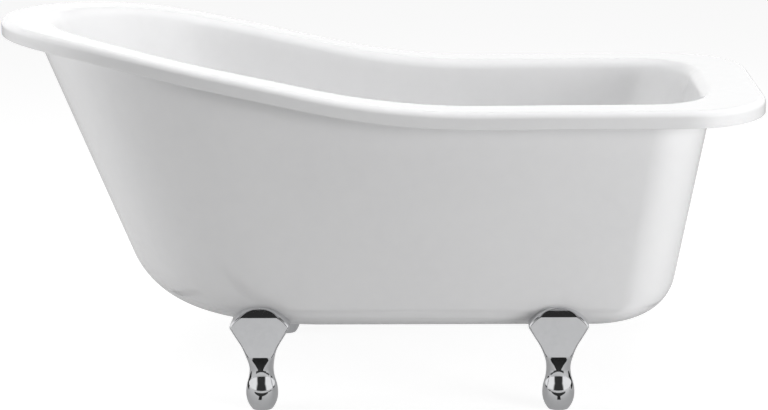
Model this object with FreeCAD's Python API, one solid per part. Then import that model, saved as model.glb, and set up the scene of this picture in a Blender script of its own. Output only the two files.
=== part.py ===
import FreeCAD, Part
import math
import os

# Freestanding slipper bath on four ball feet: two bonded skins, a base board between them,
# four cast feet bolted through, a push-to-open waste and an overflow behind the tap end.
# Millimetres, +Z up, origin on the floor under the middle of the rim, +X towards the tap end.

# ---- overall size and rim ----
LENGTH, WIDTH = 1500.0, 750.0
TAP_RIM = 593.0                 # height of the level rim at the tap end
NOSE_LENGTH = 439.0             # half ellipse of the slipper end in plan
CORNER_X, CORNER_Y = 167.0, 208.0   # elliptic corners of the tap end
RISE_X = 954.0 - LENGTH / 2     # where the rim starts to rise, 954 from the slipper tip
RISE_R, RISE_ANGLE, RISE_RUN = 1487.0, 12.5, 309.3   # hollow arc, then a straight rise
CREST_R = 1800.0                # round arc up to the slipper tip
LIP_DROP, LIP_ROUND = 32.5, 13.0
EDGE_ROUND = 20.0               # rounding of the rim into the basin
SKIN_IN, SKIN_OUT = 6.0, 5.0    # thickness of the basin skin and of the outer skin
BEAD = 11.0                     # thickened ring round the basin mouth
GLUE = 0.3                      # bonded faces stand this far apart
BODY_FLOOR = 157.0              # underside of the outer skin
BOARD = 18.0                    # base board
BASIN_FLOOR = BODY_FLOOR + SKIN_OUT + BOARD + 2 * GLUE + SKIN_IN

# Rim widths, and how far the body's top stands in from the rim's edge.
DECK, SIDE_RIM, SLIPPER_RIM = 115.0, 97.0, 161.6
BODY_IN_TAP, BODY_IN_SIDE, BODY_IN_SLIPPER = 102.0, 56.0, 127.2
BODY_TOP = TAP_RIM - 33.0       # height at which the body's reaches are measured

# Each form: reach from the axis at height "top", batter (run per rise) and floor radius.
BASIN = dict(top=TAP_RIM, floor=BASIN_FLOOR, left=(LENGTH / 2 - SLIPPER_RIM, 0.466, 150.0),
             right=(LENGTH / 2 - DECK, 0.3057, 85.0), side=(WIDTH / 2 - SIDE_RIM, 0.1405, 90.0),
             nose=321.0, corner=(120.0, 150.0))
BODY = dict(top=BODY_TOP, floor=BODY_FLOOR, left=(LENGTH / 2 - BODY_IN_SLIPPER, 0.4007, 165.0),
            right=(LENGTH / 2 - BODY_IN_TAP, 0.195, 88.0), side=(WIDTH / 2 - BODY_IN_SIDE, 0.085, 45.0),
            nose=334.0, corner=(120.0, 180.0))

# ---- feet ----
FOOT_X = (528.0 - LENGTH / 2, LENGTH / 2 - 399.0)
FOOT_Y = WIDTH / 2 - 91.0
BASE_R, BALL_R, BALL_Z = 20.0, 31.0, 31.0   # the ball: flat base, widest radius and its height
NECK_R, NECK_Z = 23.3, 80.0
FAN_HALF, FAN_LEAN = 59.0, 32.0 # half width at the ears, lean of the sides in degrees
FACE_EDGE = 2.0                 # chamfer along the sides of the front face
FAN_Z = BODY_FLOOR + 11.0       # height of the ears
FAN_FACE, FAN_TOP = FAN_Z + 19.0, FAN_Z + 34.0   # top of the flat face, top of the arch
CAP_DEPTH, CAP_BULGE = 21.0, 2.0   # the cap over the face: how far it runs back, and its rounding
EAR_R = 8.0
FACE_Z, FACE_OUT = 108.0, 6.0   # bottom of the flat face, and how far it stands out before the neck
FRONT = FOOT_Y + NECK_R + FACE_OUT   # plane of the foot's front face
TONGUE_Z, TONGUE_LEN = BODY_FLOOR - 8.0, 155.0
BOLT_Y, BOLT_R = FOOT_Y - 135.0, 5.0

# ---- waste and overflow ----
WASTE_BACK = 64.4               # from the end of the basin's flat floor to the waste
RECESS_R, RECESS = 38.0, 2.5
TUBE_R, TUBE_BORE = 21.0, 18.0
TAIL_R, TAIL_Z, TAIL_LEN = 23.9, BODY_FLOOR - 56.0, 22.0
INLET_Z, PIPE_R = BODY_FLOOR - 16.0, 9.0
FIT = 0.1                       # radial clearance of screwed and sliding fits
PLUG_LIFT = 9.0
OVERFLOW_Z = TAP_RIM - 153.0
HOLE_R = 24.0

V = FreeCAD.Vector
os.makedirs("parts", exist_ok=True)


def export(name, shapes):
    """Writes one node; several shapes stay separate solids."""
    shape = shapes if isinstance(shapes, Part.Shape) else Part.makeCompound(shapes)
    shape.exportStep("parts/%s.step" % name)


def wall(form, key, z):
    """Reach of a wall at height z: a battered line that ends in the floor radius."""
    reach, batter, radius = form[key]
    lean = math.atan(batter)
    start = form["floor"] + radius * (1 - math.sin(lean))
    if z >= start:
        return reach - batter * (form["top"] - z)
    centre = reach - batter * (form["top"] - start) - radius * math.cos(lean)
    return centre + math.sqrt(max(0.0, radius ** 2 - (form["floor"] + radius - z) ** 2))


def flat_end(form, key):
    """Reach of a form's flat floor: where the floor radius begins."""
    return wall(form, key, form["floor"])


def elliptic(x, y, z, rx, ry, start):
    """Quarter of an ellipse from the angle start, in degrees, at height z."""
    if rx >= ry:
        oval, turn = Part.Ellipse(V(x + rx, y, z), V(x, y + ry, z), V(x, y, z)), 0
    else:
        oval, turn = Part.Ellipse(V(x, y + ry, z), V(x - rx, y, z), V(x, y, z)), -90
    return Part.ArcOfEllipse(oval, math.radians(start + turn), math.radians(start + turn + 90)).toShape()


def outline(left, right, half, nose, corner, z):
    """Closed plan outline at height z: half ellipse at the left, two elliptic corners at the right."""
    rx, ry = corner
    x1, x2, y = left + nose, right - rx, half - ry
    line = lambda a, b: Part.LineSegment(V(*a, z), V(*b, z)).toShape()
    return Part.Wire([
        elliptic(x1, 0, z, nose, half, 180), line((x1, -half), (x2, -half)),
        elliptic(x2, -y, z, rx, ry, -90), line((right, -y), (right, y)),
        elliptic(x2, y, z, rx, ry, 0), line((x2, half), (x1, half)),
        elliptic(x1, 0, z, nose, half, 90)])


def grown(form, by):
    """The same form with all its faces moved out by a distance."""
    out = dict(form, floor=form["floor"] - by)
    for key in ("left", "right", "side"):
        reach, batter, radius = form[key]
        out[key] = (reach + by, batter, radius + by)
    return out


def section(form, z):
    half = wall(form, "side", z)
    scale = half / form["side"][0]
    corner = [r * scale for r in form["corner"]]
    return outline(-wall(form, "left", z), wall(form, "right", z), half, form["nose"] * scale, corner, z)


def solid_form(form, faceted=False):
    """Tub-shaped solid from its floor to above the rim. Hidden faces may be faceted."""
    radius = max(form[key][2] for key in ("left", "right", "side"))
    steps = 5 if faceted else 11
    heights = [form["floor"] + radius * (i / steps) ** 2 for i in range(steps + faceted)]
    if faceted:
        rings = [section(form, z).discretize(129) for z in heights + [820.0]]
        wires = [Part.makePolygon(ring[:-1] + ring[:1]) for ring in rings]
        return Part.makeLoft(wires, True, True)
    heights += [form["floor"] + radius * (1 + 0.5 * i) for i in range(8)]
    return Part.makeLoft([section(form, z) for z in heights], True, False)


def under_rim(drop):
    """Everything below the rim's side curve moved down square to itself by a distance."""
    a = math.radians(RISE_ANGLE)
    y = -WIDTH
    hollow, crest = RISE_R + drop, CREST_R - drop
    on_hollow = lambda t: V(RISE_X - hollow * math.sin(t), y, TAP_RIM + RISE_R - hollow * math.cos(t))
    foot = on_hollow(a)
    knee = foot + V(-math.cos(a), 0, math.sin(a)) * RISE_RUN
    centre = knee - V(math.sin(a), 0, math.cos(a)) * crest
    on_crest = lambda t: centre + V(math.sin(t), 0, math.cos(t)) * crest
    right, left = V(LENGTH, y, TAP_RIM - drop), on_crest(-a / 4)
    edges = [Part.makeLine(right, on_hollow(0)),
             Part.Arc(on_hollow(0), on_hollow(a / 2), foot).toShape(),
             Part.makeLine(foot, knee),
             Part.Arc(knee, on_crest(a / 3), left).toShape(),
             Part.makeLine(left, V(left.x, y, -50)),
             Part.makeLine(V(left.x, y, -50), V(LENGTH, y, -50)),
             Part.makeLine(V(LENGTH, y, -50), right)]
    return Part.Face(Part.Wire(edges)).extrude(V(0, 2 * WIDTH, 0))


def rim_block(inset, drop):
    """The rim's plan, inset by a distance, below the rim curve moved down by a distance."""
    half = WIDTH / 2 - inset
    corner = (CORNER_X - inset, CORNER_Y - inset)
    plan = outline(inset - LENGTH / 2, LENGTH / 2 - inset, half, NOSE_LENGTH - inset, corner, 100)
    return Part.Face(plan).extrude(V(0, 0, 700)).common(under_rim(drop))


def cylinder(r, z0, z1, x=0.0, y=0.0):
    return Part.makeCylinder(r, z1 - z0, V(x, y, z0))


def ring(r_out, r_in, z0, z1, x=0.0, y=0.0):
    return cylinder(r_out, z0, z1, x, y).cut(cylinder(r_in, z0, z1, x, y))


def slot(x0, x1, half, z0, z1):
    """Upright round-ended slot along X."""
    body = Part.makeBox(x1 - x0 - 2 * half, 2 * half, z1 - z0, V(x0 + half, -half, z0))
    return body.fuse([cylinder(half, z0, z1, x0 + half), cylinder(half, z0, z1, x1 - half)])


def profile(points, plane):
    """Face from points (u, v); a point with a third value is the middle of an arc. plane is 'xz' or 'yz'."""
    place = (lambda p: V(p[0], 0, p[1])) if plane == "xz" else (lambda p: V(0, p[0], p[1]))
    edges, i = [], 0
    points = points + points[:1]
    while i < len(points) - 1:
        if len(points[i + 1]) == 3:
            edges.append(Part.Arc(place(points[i]), place(points[i + 1]), place(points[i + 2])).toShape())
            i += 2
        else:
            edges.append(Part.makeLine(place(points[i]), place(points[i + 1])))
            i += 1
    return Part.Face(Part.Wire(edges))


def edges_where(shape, test):
    return [e for e in shape.Edges if test(e)]


# ---- the two skins ----
WASTE_X = flat_end(BASIN, "right") - WASTE_BACK
basin = solid_form(BASIN)
body = solid_form(BODY)
waste_bore = cylinder(TUBE_R + 1.5, 100, BASIN_FLOOR + 1, WASTE_X)
recess = cylinder(RECESS_R, BASIN_FLOOR - RECESS, BASIN_FLOOR + 1, WASTE_X)

SLOT = (WASTE_X - 55, WASTE_X + 170, 45)    # opening under the body for the waste and its pipe
lean = math.degrees(math.atan(BASIN["right"][1]))
wall_point = V(wall(BASIN, "right", OVERFLOW_Z), 0, OVERFLOW_Z)
# local Z runs out through the tap end wall, local X down along it
overflow_frame = FreeCAD.Placement(wall_point, FreeCAD.Rotation(V(0, 1, 0), 90 + lean))


def at_overflow(shape):
    moved = shape.copy()
    moved.Placement = overflow_frame.multiply(moved.Placement)
    return moved


def top_edge(e):
    """An edge of the rim block on its top face."""
    return e.BoundBox.ZMin > TAP_RIM - 0.5


def mouth_edge(e):
    """A top edge at the mouth of the basin."""
    return top_edge(e) and all(
        abs(p.y) < WIDTH / 2 - 60 and abs(p.x) < LENGTH / 2 - 60 for p in e.discretize(5))


block = rim_block(0, 0)
block = block.makeFillet(LIP_ROUND, [e for e in edges_where(block, top_edge)
                                     if e.BoundBox.YLength < WIDTH - 1 or e.BoundBox.XLength > 1]).cut(basin)
block = block.makeFillet(EDGE_ROUND, edges_where(block, mouth_edge))
bead = solid_form(grown(BASIN, BEAD), True)
lip = rim_block(0, 0).cut(under_rim(LIP_DROP)).cut(rim_block(SKIN_IN, SKIN_IN).cut(bead))
tub = solid_form(grown(BASIN, SKIN_IN), True).common(under_rim(SKIN_IN / 2))
inner = block.common(lip.fuse(tub))
inner = inner.cut(recess).cut(waste_bore).cut(at_overflow(cylinder(HOLE_R, -30, 30)))
export("inner_shell", inner)

outer = body.common(under_rim(SKIN_IN + GLUE)).cut(solid_form(grown(BODY, -SKIN_OUT), True))
outer = outer.cut(slot(*SLOT, BODY_FLOOR - 60, BODY_FLOOR + 60))
bolt_spots = [(x, side * BOLT_Y) for x in FOOT_X for side in (-1, 1)]
outer = outer.cut([cylinder(BOLT_R + 0.5, BODY_FLOOR - 10, BODY_FLOOR + 13, x, y) for x, y in bolt_spots])
export("outer_shell", outer)

# ---- boards between the skins ----
board_z = BODY_FLOOR + SKIN_OUT + GLUE
board_top = board_z + BOARD
NUT_R, NUT_FLANGE, NUT_T = 6.4, 12.0, 1.4
cavity = grown(BODY, -SKIN_OUT)
EDGE_GAP = 5.0                  # between the board's edge and the start of the skin's floor radius
floor_half = flat_end(cavity, "side")
board_nose = cavity["nose"] * floor_half / cavity["side"][0]
board = outline(EDGE_GAP - flat_end(cavity, "left"), WASTE_X + 55, floor_half - EDGE_GAP,
                board_nose, (60, 60), board_z)
board = Part.Face(board).extrude(V(0, 0, BOARD))
board = board.cut(slot(*SLOT, board_z - 1, board_top + 1))
board = board.cut([cylinder(NUT_R + FIT, board_z - 1, board_top + 1, x, y) for x, y in bolt_spots])
nut_recess = board_top - NUT_T - 0.4
board = board.cut([cylinder(NUT_FLANGE + 0.3, nut_recess, board_top + 1, x, y) for x, y in bolt_spots])
export("base_board", board)

DECK_BOARD = 12.0
deck_top = TAP_RIM - SKIN_IN - GLUE
deck_x = LENGTH / 2 - DECK + EDGE_ROUND + 7     # clear of the thickened ring round the mouth
deck = Part.makeBox(LENGTH / 2 - 10 - deck_x, WIDTH - 400, DECK_BOARD,
                    V(deck_x, 200 - WIDTH / 2, deck_top - DECK_BOARD))
export("deck_board", deck.makeFillet(12, edges_where(deck, lambda e: e.BoundBox.ZLength > 10)))

# ---- feet ----
seat = solid_form(grown(BODY, GLUE))
side_lean = math.radians(FAN_LEAN)
flare = (FAN_HALF - NECK_R - (FAN_Z - NECK_Z) * math.tan(side_lean)) / (
    1 - math.cos(side_lean) - math.sin(side_lean) * math.tan(side_lean))
flare_end = NECK_Z + flare * math.sin(side_lean)
back, TONGUE_RUN = FOOT_Y - NECK_R, 52.0        # the back of the neck, and its hollow up to the tongue
hollow = (TONGUE_RUN ** 2 + (TONGUE_Z - NECK_Z) ** 2) / (2 * TONGUE_RUN)


def arc_run(radius, rise):
    """Sideways run of an arc that starts upright, after a rise."""
    return radius - math.sqrt(radius ** 2 - rise ** 2)


# front view: an arc out of the neck, a straight lean up to the rounded ears, and the arch
rise = flare_end - NECK_Z
line_foot = NECK_R + arc_run(flare, rise)
arch_r = (FAN_HALF ** 2 + (FAN_TOP - FAN_Z) ** 2) / (2 * (FAN_TOP - FAN_Z))
right_half = [(NECK_R, NECK_Z), (NECK_R + arc_run(flare, rise / 2), NECK_Z + rise / 2, 1),
              (line_foot, flare_end), (FAN_HALF, FAN_Z)]
left_half = [(-p[0],) + p[1:] for p in reversed(right_half)]
fan = profile(right_half + [(0, FAN_TOP, 1)] + left_half, "xz")
fan.translate(V(0, -400, 0))
fan = fan.extrude(V(0, 300, 0))
at_ear = lambda e: e.BoundBox.YLength > 200 and abs(e.BoundBox.ZMin - FAN_Z) < 1
fan = fan.makeFillet(EAR_R, edges_where(fan, at_ear))

# side view: neck, flat face, rounded cap, tongue end and the hollow behind
scoop, half_rise = FACE_Z - NECK_Z, (TONGUE_Z - NECK_Z) / 2
scoop_r = (scoop ** 2 + FACE_OUT ** 2) / (2 * FACE_OUT)
side_view = [(-FOOT_Y - NECK_R, NECK_Z),
             (-FOOT_Y - NECK_R - arc_run(scoop_r, scoop / 2), NECK_Z + scoop / 2, 1), (-FRONT, FACE_Z),
             (-FRONT, FAN_FACE),
             (CAP_DEPTH / 2 - FRONT - CAP_BULGE, (FAN_FACE + FAN_TOP) / 2 + CAP_BULGE, 1),
             (CAP_DEPTH - FRONT, FAN_TOP), (-100, FAN_TOP), (-100, TONGUE_Z), (TONGUE_RUN - back, TONGUE_Z),
             (arc_run(hollow, half_rise) - back, NECK_Z + half_rise, 1), (-back, NECK_Z)]
blade = profile(side_view, "yz")
blade.translate(V(-200, 0, 0))
claw = fan.common(blade.extrude(V(400, 0, 0)))
claw = claw.cut(Part.makeBox(400, 300, 100, V(-200, -FOOT_Y + TONGUE_LEN, TONGUE_Z - 50)))

# the neck is round, and the flats of the face grow out of it
TURN_R, TURN = 30.0, math.radians(80)
turned = [(0, NECK_Z - 1), (NECK_R + GLUE, NECK_Z - 1), (NECK_R + GLUE, NECK_Z),
          (NECK_R + TURN_R * (1 - math.cos(TURN / 2)), NECK_Z + TURN_R * math.sin(TURN / 2), 1),
          (NECK_R + TURN_R * (1 - math.cos(TURN)), NECK_Z + TURN_R * math.sin(TURN)),
          (250, NECK_Z + 70), (250, FAN_TOP + 5), (0, FAN_TOP + 5)]
turned = profile(turned, "xz").revolve(V(0, 0, 0), V(0, 0, 1), 360)
turned.translate(V(0, -FOOT_Y, 0))
claw = claw.common(turned)
on_face = lambda e: (e.BoundBox.YMax < 0.01 - FRONT and e.BoundBox.ZLength > 0.5
                     and e.BoundBox.ZMax > FACE_Z + 4)
claw = claw.makeChamfer(FACE_EDGE, edges_where(claw, on_face))

# the ball and neck: three arcs, all upright at the widest place and at the neck
mid_r, mid_z = (BALL_R + NECK_R) / 2, (BALL_Z + NECK_Z) / 2
pear_r = ((BALL_R - mid_r) ** 2 + (mid_z - BALL_Z) ** 2) / (2 * (BALL_R - mid_r))
base_r = ((BALL_R - BASE_R) ** 2 + BALL_Z ** 2) / (2 * (BALL_R - BASE_R))
half_up, half_down = (mid_z - BALL_Z) / 2, BALL_Z / 2
pear = [(0, 0), (BASE_R, 0), (BALL_R - arc_run(base_r, half_down), BALL_Z - half_down, 1), (BALL_R, BALL_Z),
        (BALL_R - arc_run(pear_r, half_up), BALL_Z + half_up, 1), (mid_r, mid_z),
        (NECK_R + arc_run(pear_r, half_up), NECK_Z - half_up, 1), (NECK_R, NECK_Z), (0, NECK_Z)]
ball = profile(pear, "xz").revolve(V(0, 0, 0), V(0, 0, 1), 360)
ball.translate(V(0, -FOOT_Y, 0))
claw = claw.fuse(ball).removeSplitter()

heads, washers, nuts = [], [], []
HEAD_R, HEAD_H, WASHER_R, WASHER_T = 8.0, 6.4, 10.5, 2.0
mirror_y = lambda shape: shape.mirror(V(0, 0, 0), V(0, 1, 0))
for x, end in zip(FOOT_X, ("slipper", "tap")):
    foot = claw.copy()
    foot.translate(V(x, 0, 0))
    foot = foot.cut([seat, cylinder(BOLT_R + 0.5, TONGUE_Z - 10, TONGUE_Z + 20, x, -BOLT_Y)])
    export("foot_%s_front" % end, foot)
    export("foot_%s_back" % end, mirror_y(foot))

for x, y in bolt_spots:
    washer_z = TONGUE_Z - GLUE - WASHER_T
    head_z = washer_z - GLUE - HEAD_H
    turns = [math.radians(60 * i) for i in range(7)]
    corner = HEAD_R / math.cos(math.radians(30))
    hexagon = [V(x + corner * math.cos(t), y + corner * math.sin(t), head_z) for t in turns]
    head = Part.Face(Part.makePolygon(hexagon)).extrude(V(0, 0, HEAD_H))
    heads.append(head.fuse(cylinder(BOLT_R - FIT, head_z + HEAD_H, board_top - 2, x, y)))
    washers.append(ring(WASHER_R, BOLT_R + 0.3, washer_z, washer_z + WASHER_T, x, y))
    barrel = cylinder(NUT_R, board_top - 12, board_top - NUT_T, x, y)
    plate = cylinder(NUT_FLANGE, board_top - NUT_T - 0.1, board_top - 0.1, x, y)
    nuts.append(barrel.fuse(plate).cut(cylinder(BOLT_R, board_top - 13, board_top, x, y)))
export("foot_bolts", heads)
export("foot_washers", washers)
export("foot_tee_nuts", nuts)

# ---- waste ----
flange_z = BASIN_FLOOR - RECESS + GLUE
flange_top = flange_z + 3.0
tube_end = BODY_FLOOR - 10.0
flange = cylinder(RECESS_R - 2, flange_z, flange_top, WASTE_X)
flange = flange.makeChamfer(1.0, edges_where(flange, lambda e: e.BoundBox.ZMin > flange_top - 0.01))
flange = flange.fuse(cylinder(TUBE_R, tube_end, flange_z + 1, WASTE_X))
flange = flange.cut(cylinder(TUBE_BORE, tube_end - 1, flange_top + 1, WASTE_X))
HUB_R, HUB_Z, STEM_R = 9.0, flange_z - 19.4, 5.0
spokes = [Part.makeBox(2 * TUBE_BORE + 2, 3, 8, V(WASTE_X - TUBE_BORE - 1, -1.5, HUB_Z)),
          Part.makeBox(3, 2 * TUBE_BORE + 2, 8, V(WASTE_X - 1.5, -TUBE_BORE - 1, HUB_Z))]
flange = flange.fuse(spokes + [cylinder(HUB_R, HUB_Z, HUB_Z + 8, WASTE_X)])
flange = flange.cut(cylinder(STEM_R + FIT, HUB_Z - 1, HUB_Z + 9, WASTE_X)).removeSplitter()
export("waste_flange", flange)

seal_top = BASIN_FLOOR - SKIN_IN - GLUE
export("waste_seal", ring(33, TUBE_R + 2, seal_top - 2.5, seal_top, WASTE_X))
collar_top = seal_top - 2.5 - GLUE
tail_top = TAIL_Z + TAIL_LEN
waste = cylinder(34, collar_top - 4, collar_top, WASTE_X).fuse(
    [cylinder(TUBE_R + 4.5, tail_top, collar_top - 2, WASTE_X), cylinder(TAIL_R, TAIL_Z, tail_top + 1, WASTE_X)])
boss_end = WASTE_X + 48.0
boss = Part.makeCylinder(12.5, 48, V(WASTE_X, 0, INLET_Z), V(1, 0, 0))
waste = waste.fuse(boss).cut(cylinder(19.5, TAIL_Z - 1, collar_top + 1, WASTE_X))
waste = waste.cut(cylinder(TUBE_R + FIT, tube_end - 2, collar_top + 1, WASTE_X))
waste = waste.cut(Part.makeCylinder(PIPE_R + 0.15, 60, V(WASTE_X, 0, INLET_Z), V(1, 0, 0)))
export("waste_body", waste.removeSplitter())

inlet_ring = lambda r_out, r_in, x0, x1: Part.makeCylinder(r_out, x1 - x0, V(x0, 0, INLET_Z), V(1, 0, 0)).cut(
    Part.makeCylinder(r_in, x1 - x0, V(x0, 0, INLET_Z), V(1, 0, 0)))
export("pipe_washer", inlet_ring(12.2, PIPE_R + 0.3, boss_end + GLUE, boss_end + 3))
nut_face = boss_end + 3 + GLUE
cap_nut = inlet_ring(16, PIPE_R + 0.4, boss_end - 14, nut_face + 3).cut(
    Part.makeCylinder(12.5 + FIT, 14 + 3 + GLUE, V(boss_end - 14, 0, INLET_Z), V(1, 0, 0)))
grips = [Part.makeBox(14, 2.2, 4, V(boss_end - 12, -1.1, 14.4)) for i in range(12)]
for i, grip in enumerate(grips):
    grip.rotate(V(0, 0, 0), V(1, 0, 0), 30 * i)
    grip.translate(V(0, 0, INLET_Z))
export("pipe_nut", cap_nut.fuse(grips).removeSplitter())

# ---- push-to-open plug, shown closed ----
plug_z = flange_top + GLUE
export("plug_seal", ring(27, 20, plug_z, plug_z + 1.6, WASTE_X))
cap_z = plug_z + 1.6 + GLUE
cap = cylinder(30, cap_z, cap_z + 3.5, WASTE_X)
export("plug_cap", cap.makeChamfer(1.2, edges_where(cap, lambda e: e.BoundBox.ZMin > cap_z + 3.4)))
collar_z = HUB_Z - PLUG_LIFT - 3.0
stem = cylinder(STEM_R, collar_z - 2, cap_z - GLUE, WASTE_X).fuse(
    cylinder(7.5, collar_z, collar_z + 2.5, WASTE_X))
export("plug_stem", stem.removeSplitter())

# ---- overflow ----
seal_z = SKIN_IN + GLUE
export("overflow_seal", at_overflow(ring(29, HOLE_R + 0.5, seal_z, seal_z + 2)))
house_z, house_h = seal_z + 2 + GLUE, 18.4
mid_z = house_z + house_h / 2
elbow = cylinder(28, house_z, house_z + house_h)
outlet = Part.makeCylinder(PIPE_R + 2.2, 36, V(14, 0, mid_z), V(1, 0, 0)).cut(cylinder(29.3, 0, house_z))
elbow = elbow.fuse(outlet).cut(cylinder(24.5, house_z - 1, house_z + house_h - 2))
elbow = elbow.cut(Part.makeCylinder(PIPE_R + 0.15, 16, V(34, 0, mid_z), V(1, 0, 0)))
elbow = elbow.cut(Part.makeCylinder(PIPE_R - 2, 20, V(20, 0, mid_z), V(1, 0, 0)))
screw_boss = cylinder(5, house_z + 3, house_z + house_h)
elbow = elbow.fuse(screw_boss).cut(cylinder(2.5 + 2 * FIT, house_z, house_z + 14))
export("overflow_elbow", at_overflow(elbow.removeSplitter()))

cover = cylinder(35, -9.3, -GLUE)
cover = cover.makeChamfer(3.0, edges_where(cover, lambda e: e.BoundBox.ZMax < -9.2))
cover = cover.cut(cylinder(31, -6.8, 1)).cut(cylinder(2.8, -10, 0)).cut(cylinder(5.4, -10, -7.6))
cover = cover.cut(Part.makeBox(20, 30, 5, V(22, -15, -5)))
export("overflow_cover", at_overflow(cover))
screw = cylinder(5.1, -9.2, -7.7).fuse(cylinder(2.5, -7.8, house_z + 12))
export("overflow_screw", at_overflow(screw.cut(Part.makeBox(12, 1.2, 0.8, V(-6, -0.6, -9.3)))))

# ---- rigid overflow pipe: down behind the tap end wall, then level into the waste ----
start = overflow_frame.multVec(V(36, 0, mid_z))
down = overflow_frame.Rotation.multVec(V(1, 0, 0))
knee = start + down * ((start.z - INLET_Z) / -down.z)
end = V(boss_end - 12, 0, INLET_Z)
turn = math.acos(down.dot(V(-1, 0, 0)))
BEND = 50.0
reach = BEND * math.tan(turn / 2)
bend_a, bend_b = knee - down * reach, knee - V(reach, 0, 0)
to_centre = (V(-1, 0, 0) - down).normalize()
centre = knee + to_centre * (BEND / math.cos(turn / 2))
bend_m = centre - to_centre * BEND
spine = Part.Wire([Part.makeLine(start, bend_a), Part.Arc(bend_a, bend_m, bend_b).toShape(),
                   Part.makeLine(bend_b, end)])
tube = [Part.Wire(Part.makeCircle(r, start, down)) for r in (PIPE_R, PIPE_R - 1.8)]
skins = [spine.makePipeShell([w], True, True) for w in tube]
export("overflow_pipe", skins[0].cut(skins[1]))
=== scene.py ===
# %% [markdown]
# A freestanding slipper bath on four chromed ball feet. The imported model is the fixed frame: it says
# where every piece lies and what moves. This file gives the bath its looks. The two big white skins and
# the four feet are made again here as smooth surfaces from the same sizes, because a mesh taken from a
# solid is made of facets, and high gloss shows each one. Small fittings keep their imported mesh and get
# a finish.

# %% Load the frame
import math

import bpy
import numpy as np
from mathutils import Matrix, Vector


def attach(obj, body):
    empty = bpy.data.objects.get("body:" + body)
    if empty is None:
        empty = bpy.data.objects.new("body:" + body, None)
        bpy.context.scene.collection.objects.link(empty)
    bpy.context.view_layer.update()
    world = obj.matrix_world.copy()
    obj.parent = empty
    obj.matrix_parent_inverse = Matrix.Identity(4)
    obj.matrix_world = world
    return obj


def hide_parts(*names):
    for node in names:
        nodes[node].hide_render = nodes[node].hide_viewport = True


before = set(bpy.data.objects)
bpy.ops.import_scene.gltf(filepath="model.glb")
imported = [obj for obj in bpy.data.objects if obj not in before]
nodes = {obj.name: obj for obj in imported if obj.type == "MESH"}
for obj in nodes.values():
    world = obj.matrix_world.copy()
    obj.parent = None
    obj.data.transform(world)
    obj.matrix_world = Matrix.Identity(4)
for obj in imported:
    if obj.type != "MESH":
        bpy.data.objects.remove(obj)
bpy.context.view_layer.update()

# %% [markdown]
# The camera stands where the photograph was taken from: about 4.7 m in front of the bath, a little to
# the right of its middle and at chest height, tipped down 12 degrees. A long lens keeps the two ends in
# proportion. The place and lens came from fitting the bath's outline, so no guess by eye is left in it.

# %% Camera
EYE = Vector((0.2177, -4.6673, 1.3399))
YAW, PITCH, ROLL = 0.0451724, 0.2107915, -0.0141247
LENS_PX, PHOTO_W = 2358.57, 768.0
SENSOR = 36.0


def camera_axes(yaw, pitch, roll):
    """Right, up and forward: turned about the vertical, tipped down, then rolled about the view line."""
    forward = Vector((-math.sin(yaw) * math.cos(pitch), math.cos(yaw) * math.cos(pitch), -math.sin(pitch)))
    right = Vector((math.cos(yaw), math.sin(yaw), 0.0))
    up = right.cross(forward)
    c, s = math.cos(roll), math.sin(roll)
    return right * c + up * s, up * c - right * s, forward


right, up, forward = camera_axes(YAW, PITCH, ROLL)
lens = bpy.data.cameras.new("photo_camera")
lens.sensor_width = SENSOR
lens.lens = LENS_PX / PHOTO_W * SENSOR
camera = bpy.data.objects.new("photo_camera", lens)
turn = Matrix((right, up, -forward)).transposed()
camera.matrix_world = Matrix.Translation(EYE) @ turn.to_4x4()
bpy.context.collection.objects.link(camera)
bpy.context.scene.camera = camera
print("lens %.1f mm" % lens.lens)

# %% [markdown]
# The bath's shape comes from a few sizes. Each tub form has a reach, a batter (how far the wall leans
# out per millimetre of rise) and a floor radius for its left end, its right end and its sides. The rim
# adds a side curve: level at the tap end, a hollow arc, a straight rise and a round crest at the
# slipper end. Sizes are in millimetres, as on a drawing, and become metres only in the mesh.

# %% Sizes
LENGTH, WIDTH = 1500.0, 750.0
TAP_RIM = 593.0
RIM_NOSE, RIM_CORNER = 439.0, (167.0, 208.0)
RISE_X, RISE_R, RISE_ANGLE, RISE_RUN, CREST_R = 204.0, 1487.0, math.radians(12.5), 309.3, 1800.0
LIP_DROP, LIP_ROUND, EDGE_ROUND = 32.5, 13.0, 20.0
SKIN_IN, SKIN_OUT, GLUE = 6.0, 5.0, 0.3
BASIN = dict(top=593.0, floor=186.6, left=(588.4, 0.466, 150.0), right=(635.0, 0.3057, 85.0),
             side=(278.0, 0.1405, 90.0), nose=321.0, corner=(120.0, 150.0))
BODY = dict(top=560.0, floor=157.0, left=(622.8, 0.4007, 165.0), right=(648.0, 0.195, 88.0),
            side=(319.0, 0.085, 45.0), nose=334.0, corner=(120.0, 180.0))
MM = 0.001


def rim_height(x):
    """Height of the rim at x: level, then a hollow arc of radius RISE_R, a straight rise, a round arc."""
    sin_a, cos_a = math.sin(RISE_ANGLE), math.cos(RISE_ANGLE)
    foot_x = RISE_X - RISE_R * sin_a
    foot_z = TAP_RIM + RISE_R * (1 - cos_a)
    knee_x, knee_z = foot_x - RISE_RUN * cos_a, foot_z + RISE_RUN * sin_a
    centre_x, centre_z = knee_x - CREST_R * sin_a, knee_z - CREST_R * cos_a
    hollow = TAP_RIM + RISE_R - np.sqrt(np.clip(RISE_R ** 2 - (RISE_X - x) ** 2, 0, None))
    rise = foot_z + (foot_x - x) * math.tan(RISE_ANGLE)
    crest = centre_z + np.sqrt(np.clip(CREST_R ** 2 - (x - centre_x) ** 2, 0, None))
    return np.where(x > RISE_X, TAP_RIM, np.where(x > foot_x, hollow, np.where(x > knee_x, rise, crest)))


def grown(form, by):
    """The same tub form with every face moved out by a distance."""
    out = dict(form, floor=form["floor"] - by)
    for key in ("left", "right", "side"):
        reach, batter, radius = form[key]
        out[key] = (reach + by, batter, radius + by)
    return out


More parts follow.
